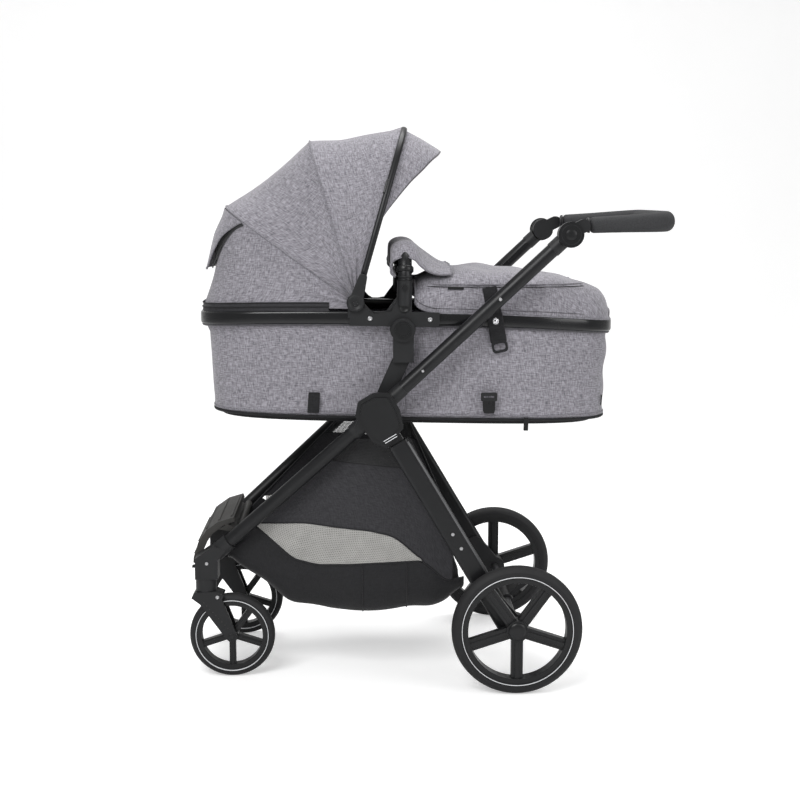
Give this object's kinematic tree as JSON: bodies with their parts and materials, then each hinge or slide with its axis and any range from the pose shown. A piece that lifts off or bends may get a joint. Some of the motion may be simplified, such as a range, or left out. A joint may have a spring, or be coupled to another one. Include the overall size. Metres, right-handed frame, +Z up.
{
  "type": "baby stroller",
  "caption": "Carrycot pram on a folding A-frame chassis with swivel front casters, adjustable push handle, folding canopy and bumper bar.",
  "frame": {"origin": "on the floor, at the middle of the overall length and width", "axes": "+X towards the push handle, travel along -X, left side at -Y, +Z up"},
  "size_m": [1.0555, 0.608, 1.2064],
  "materials": {
    "tube_black": "satin black anodised tube with a soft highlight",
    "moulded_black": "fine grained black moulding",
    "gloss_black": "smooth black moulding",
    "footrest_plastic": "dull dark grey-brown moulding",
    "screw_steel": "plated screw heads",
    "axle_steel": "dark plated steel",
    "basket_mesh": "black knitted mesh",
    "tyre_rubber": "foam tyre with a smooth tread",
    "rim_plastic": "ribbed black moulding",
    "grip_foam": "textured dark foam",
    "rail_black": "glossy black rail",
    "melange_fabric": "heather grey woven polyester",
    "board_black": "stiffened black board",
    "mattress_cover": "pale knitted cover"
  },
  "bodies": {
    "chassis": {"front_tube_left": "tube_black", "front_tube_right": "tube_black", "knuckle_left": "moulded_black", "knuckle_right": "moulded_black", "footrest": "footrest_plastic", "hub_left": "moulded_black", "hub_right": "moulded_black", "hub_covers": "gloss_black", "seat_adapter_left": "moulded_black", "seat_adapter_right": "moulded_black", "frame_screws": "screw_steel", "basket": "basket_mesh"},
    "swivel_lock_left": {"swivel_lock_left": "moulded_black"},
    "swivel_lock_right": {"swivel_lock_right": "moulded_black"},
    "rear_frame": {"rear_leg_left": "tube_black", "rear_leg_right": "tube_black", "rear_axle": "axle_steel", "axle_brackets": "moulded_black", "leg_screws": "screw_steel"},
    "brake": {"brake_pedal": "moulded_black"},
    "push_frame": {"push_tube_left": "tube_black", "push_tube_right": "tube_black", "push_sockets": "moulded_black"},
    "fold_slider_left": {"fold_slider_left": "moulded_black"},
    "fold_slider_right": {"fold_slider_right": "moulded_black"},
    "handle": {"handle_core": "axle_steel", "handle_grip": "grip_foam", "handle_hinges": "moulded_black"},
    "handle_button_left": {"handle_button_left": "gloss_black"},
    "handle_button_right": {"handle_button_right": "gloss_black"},
    "rear_wheel_left": {"rear_tyre_left": "tyre_rubber", "rear_rim_left": "rim_plastic"},
    "rear_wheel_right": {"rear_tyre_right": "tyre_rubber", "rear_rim_right": "rim_plastic"},
    "caster_left": {"fork_left": "moulded_black"},
    "caster_right": {"fork_right": "moulded_black"},
    "front_wheel_left": {"front_tyre_left": "tyre_rubber", "front_rim_left": "rim_plastic"},
    "front_wheel_right": {"front_tyre_right": "tyre_rubber", "front_rim_right": "rim_plastic"},
    "seat": {"rim_rail": "rail_black", "tub": "melange_fabric", "tub_base": "board_black", "mattress": "mattress_cover", "swivel_housing_left": "moulded_black", "swivel_housing_right": "moulded_black", "foot_cover": "melange_fabric", "canopy_back": "melange_fabric", "canopy_rear_panel": "melange_fabric"},
    "recline_button_left": {"recline_button_left": "gloss_black"},
    "recline_button_right": {"recline_button_right": "gloss_black"},
    "canopy_middle": {"canopy_middle_bow": "tube_black", "canopy_front_panel": "melange_fabric"},
    "canopy_front": {"canopy_front_bow": "tube_black", "visor": "melange_fabric"},
    "bumper": {"bumper_bar": "moulded_black", "bumper_flap": "melange_fabric"},
    "bumper_button_left": {"bumper_button_left": "gloss_black"},
    "bumper_button_right": {"bumper_button_right": "gloss_black"}
  },
  "joints": [
    {"name": "rear_fold", "type": "hinge", "parent": "chassis", "child": "rear_frame", "pos_m": [-0.11025, 0, 0.605], "axis": [0, 1, 0], "range_deg": [0, 50]},
    {"name": "push_fold", "type": "hinge", "parent": "chassis", "child": "push_frame", "pos_m": [-0.11025, 0, 0.605], "axis": [0, 1, 0], "range_deg": [0, 80]},
    {"name": "brake_press", "type": "hinge", "parent": "rear_frame", "child": "brake", "pos_m": [0.18225, 0, 0.14], "axis": [0, 1, 0], "range_deg": [0, 18]},
    {"name": "fold_slider_left_slide", "type": "slide", "parent": "push_frame", "child": "fold_slider_left", "axis": [0.7332, 0, 0.68], "range_m": [0, 0.02], "stiffness_N_per_m": 150, "springref_m": -0.002},
    {"name": "fold_slider_right_slide", "type": "slide", "parent": "push_frame", "child": "fold_slider_right", "axis": [0.7332, 0, 0.68], "range_m": [0, 0.02], "stiffness_N_per_m": 150, "springref_m": -0.002},
    {"name": "handle_tilt", "type": "hinge", "parent": "push_frame", "child": "handle", "pos_m": [0.28875, 0, 0.975], "axis": [0, 1, 0], "range_deg": [-75, 40]},
    {"name": "handle_button_left_press", "type": "slide", "parent": "push_frame", "child": "handle_button_left", "axis": [0, 1, 0], "range_m": [0, 0.003], "stiffness_N_per_m": 800},
    {"name": "handle_button_right_press", "type": "slide", "parent": "push_frame", "child": "handle_button_right", "axis": [0, -1, 0], "range_m": [0, 0.003], "stiffness_N_per_m": 800},
    {"name": "rear_wheel_left_spin", "type": "hinge", "parent": "rear_frame", "child": "rear_wheel_left", "pos_m": [0.18225, -0.287, 0.14], "axis": [0, 1, 0], "continuous": true},
    {"name": "caster_left_swivel", "type": "hinge", "parent": "chassis", "child": "caster_left", "pos_m": [-0.49075, -0.155, 0.2], "axis": [0, 0, 1], "continuous": true},
    {"name": "front_wheel_left_spin", "type": "hinge", "parent": "caster_left", "child": "front_wheel_left", "pos_m": [-0.43475, -0.155, 0.094], "axis": [0, 1, 0], "continuous": true},
    {"name": "swivel_lock_left_slide", "type": "slide", "parent": "chassis", "child": "swivel_lock_left", "axis": [0, 0, -1], "range_m": [0, 0.008]},
    {"name": "rear_wheel_right_spin", "type": "hinge", "parent": "rear_frame", "child": "rear_wheel_right", "pos_m": [0.18225, 0.287, 0.14], "axis": [0, 1, 0], "continuous": true},
    {"name": "caster_right_swivel", "type": "hinge", "parent": "chassis", "child": "caster_right", "pos_m": [-0.49075, 0.155, 0.2], "axis": [0, 0, 1], "continuous": true},
    {"name": "front_wheel_right_spin", "type": "hinge", "parent": "caster_right", "child": "front_wheel_right", "pos_m": [-0.43475, 0.155, 0.094], "axis": [0, 1, 0], "continuous": true},
    {"name": "swivel_lock_right_slide", "type": "slide", "parent": "chassis", "child": "swivel_lock_right", "axis": [0, 0, -1], "range_m": [0, 0.008]},
    {"name": "seat_recline", "type": "hinge", "parent": "chassis", "child": "seat", "pos_m": [-0.05925, 0, 0.775], "axis": [0, 1, 0], "range_deg": [0, 15]},
    {"name": "recline_button_left_press", "type": "slide", "parent": "chassis", "child": "recline_button_left", "axis": [0, 1, 0], "range_m": [0, 0.003], "stiffness_N_per_m": 800},
    {"name": "recline_button_right_press", "type": "slide", "parent": "chassis", "child": "recline_button_right", "axis": [0, -1, 0], "range_m": [0, 0.003], "stiffness_N_per_m": 800},
    {"name": "canopy_fold", "type": "hinge", "parent": "seat", "child": "canopy_middle", "pos_m": [-0.1591, 0, 0.8311], "axis": [0, 1, 0], "range_deg": [-32, 0], "deforming": ["canopy_rear_panel"]},
    {"name": "canopy_front_fold", "type": "hinge", "parent": "canopy_middle", "child": "canopy_front", "pos_m": [-0.1591, 0, 0.8311], "axis": [0, 1, 0], "range_deg": [-26, 0], "deforming": ["canopy_front_panel"]},
    {"name": "bumper_lift", "type": "slide", "parent": "seat", "child": "bumper", "axis": [0.0209, 0, 0.9998], "range_m": [0, 0.06]},
    {"name": "bumper_button_left_press", "type": "slide", "parent": "seat", "child": "bumper_button_left", "axis": [0, 1, 0], "range_m": [0, 0.003], "stiffness_N_per_m": 800},
    {"name": "bumper_button_right_press", "type": "slide", "parent": "seat", "child": "bumper_button_right", "axis": [0, -1, 0], "range_m": [0, 0.003], "stiffness_N_per_m": 800}
  ],
  "couplings": [
    {"joint": "push_fold", "follows": "rear_fold", "ratio": 1.6},
    {"joint": "canopy_front_fold", "follows": "canopy_fold", "ratio": 0.8125}
  ]
}
